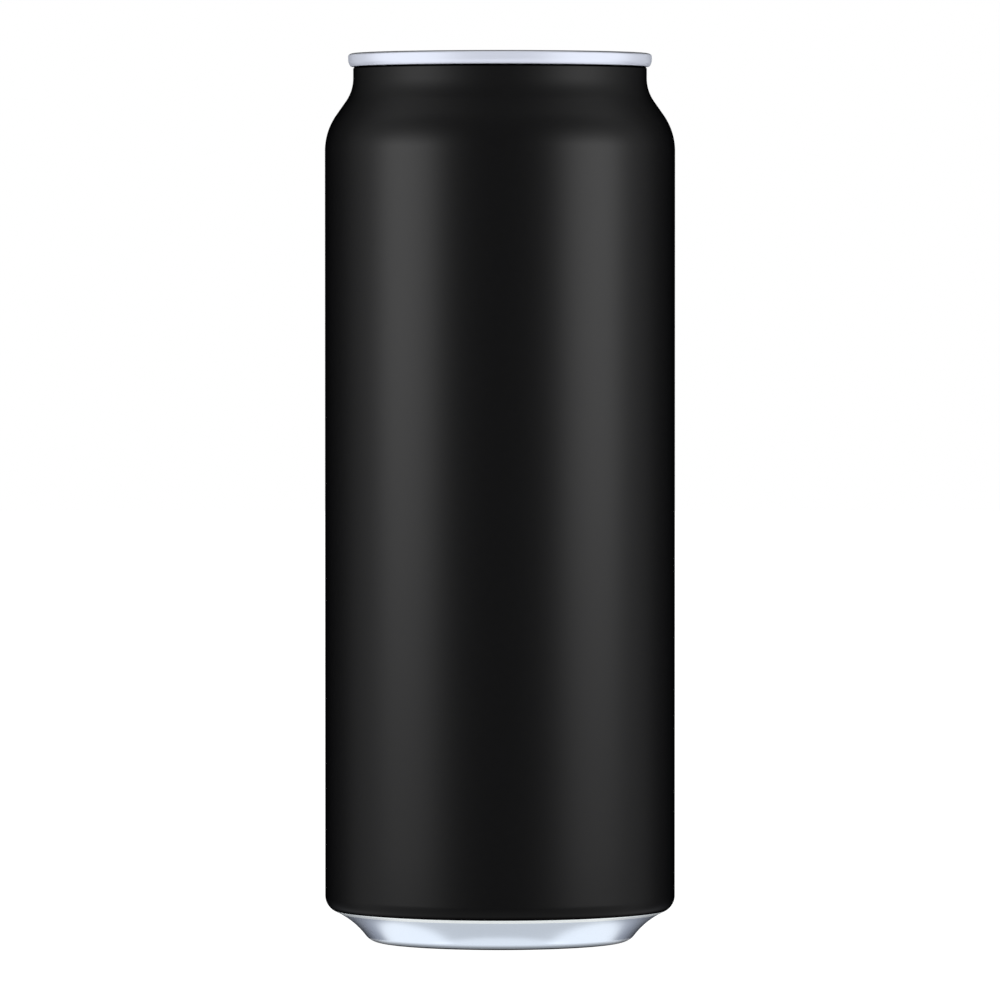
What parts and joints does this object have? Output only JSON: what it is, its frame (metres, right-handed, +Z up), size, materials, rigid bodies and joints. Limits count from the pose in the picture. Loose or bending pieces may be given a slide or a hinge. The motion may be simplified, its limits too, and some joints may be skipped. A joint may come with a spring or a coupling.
{
  "type": "beer can",
  "caption": "Shut tall drinks can with a matt black wall, bare metal foot and rim, ring-pull lid and domed base.",
  "frame": {"origin": "middle of the base, on the plane that the can stands on", "axes": "+Z up along the can's axis; the lid's mouth towards -Y and the ring of its tab towards +Y"},
  "size_m": [0.0662, 0.0662, 0.168],
  "materials": {
    "black_lacquer": "matt",
    "bare_aluminium": "drawn",
    "tab_aluminium": "rolled"
  },
  "bodies": {
    "root": {"can_body": "black_lacquer", "lid": "bare_aluminium", "tab": "tab_aluminium"}
  },
  "joints": []
}
